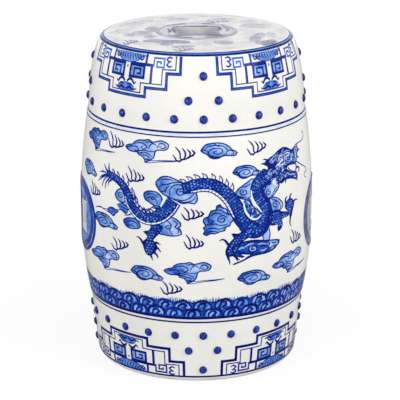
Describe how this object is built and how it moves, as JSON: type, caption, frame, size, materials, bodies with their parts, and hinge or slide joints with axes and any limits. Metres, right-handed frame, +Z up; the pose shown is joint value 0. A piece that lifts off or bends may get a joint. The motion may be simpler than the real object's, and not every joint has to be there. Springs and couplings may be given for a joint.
{
  "type": "ceramic garden stool",
  "caption": "Barrel shaped porcelain garden stool with a pierced round seat, double coin hand holds in the sides, raised nail heads and blue painted dragons.",
  "frame": {"origin": "centre of the foot ring, on the floor", "axes": "+Z up along the barrel's axis, -Y the front with the dragon, +X and -X the coin panels"},
  "size_m": [0.323, 0.322, 0.457],
  "materials": {
    "white_glaze": "clear glaze over white porcelain",
    "cobalt_glaze": "cobalt blue under clear glaze",
    "blue_wash_glaze": "blue wash under clear glaze",
    "unglazed_foot": "bare fired clay"
  },
  "bodies": {
    "root": {"foot_ring": "unglazed_foot", "lower_band": "white_glaze", "belly_wall": "white_glaze", "coin_panel_left": "blue_wash_glaze", "coin_panel_right": "blue_wash_glaze", "upper_band": "white_glaze", "seat_slab": "white_glaze", "seat_coin": "blue_wash_glaze", "lower_nail_row": "cobalt_glaze", "lower_gap_nails": "cobalt_glaze", "upper_nail_row": "cobalt_glaze", "upper_gap_nails": "cobalt_glaze"}
  },
  "joints": []
}
